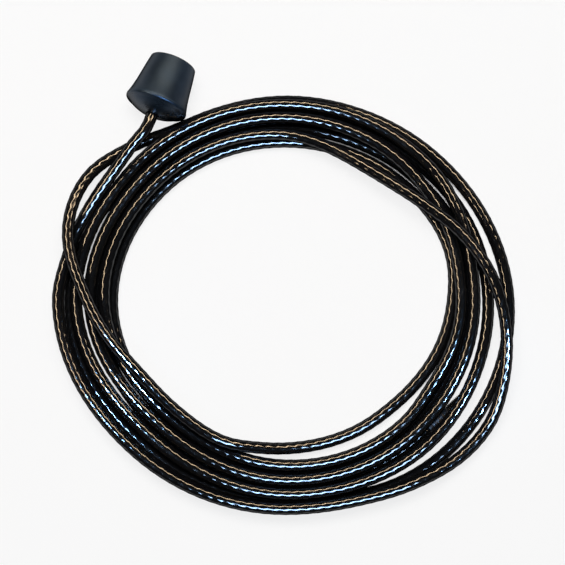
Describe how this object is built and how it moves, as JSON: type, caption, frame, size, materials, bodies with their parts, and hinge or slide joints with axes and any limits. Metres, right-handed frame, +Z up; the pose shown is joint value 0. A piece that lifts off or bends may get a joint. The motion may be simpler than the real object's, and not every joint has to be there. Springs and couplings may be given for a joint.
{
  "type": "stop-end wire rope cable",
  "caption": "Hand-coiled black jacketed wire rope with a tapered rubber stop that swivels on a swaged ball at one end and a threaded stud at the other.",
  "frame": {"origin": "middle of the bounding box in plan, on the surface that the coil and the stop lie on", "axes": "+Z up out of that surface; seen from above with +X to the right, the stop is at the upper left, and +Y points to its side of the coil"},
  "size_m": [0.25, 0.2488, 0.0339],
  "materials": {
    "jacket": "glossy black extruded plastic over the rope's lay",
    "wire_rope": "bright galvanised wire",
    "terminal_steel": "turned and swaged steel",
    "stud_black": "black oxide steel, satin",
    "stop_rubber": "satin moulded black rubber",
    "washer_steel": "pressed zinc plated steel",
    "plug_plastic": "satin black plastic"
  },
  "bodies": {
    "cable": {"jacket_coil": "jacket", "jacket_lead": "jacket", "wire_rope_coil": "wire_rope", "wire_rope_lead": "wire_rope", "ball_terminal": "terminal_steel", "stud_terminal": "stud_black"},
    "washer": {"stop_cup_washer": "washer_steel"},
    "stop": {"rubber_stop": "stop_rubber", "stop_end_plug": "plug_plastic"}
  },
  "joints": [
    {"name": "stop_slide", "type": "slide", "parent": "cable", "child": "washer", "axis": [-0.3483, -0.9218, 0.1703], "range_m": [0, 0.0015]},
    {"name": "stop_swivel", "type": "hinge", "parent": "washer", "child": "stop", "pos_m": [-0.06894, 0.09579, 0.01697], "axis": [0.3483, 0.9218, -0.1703], "continuous": true}
  ]
}
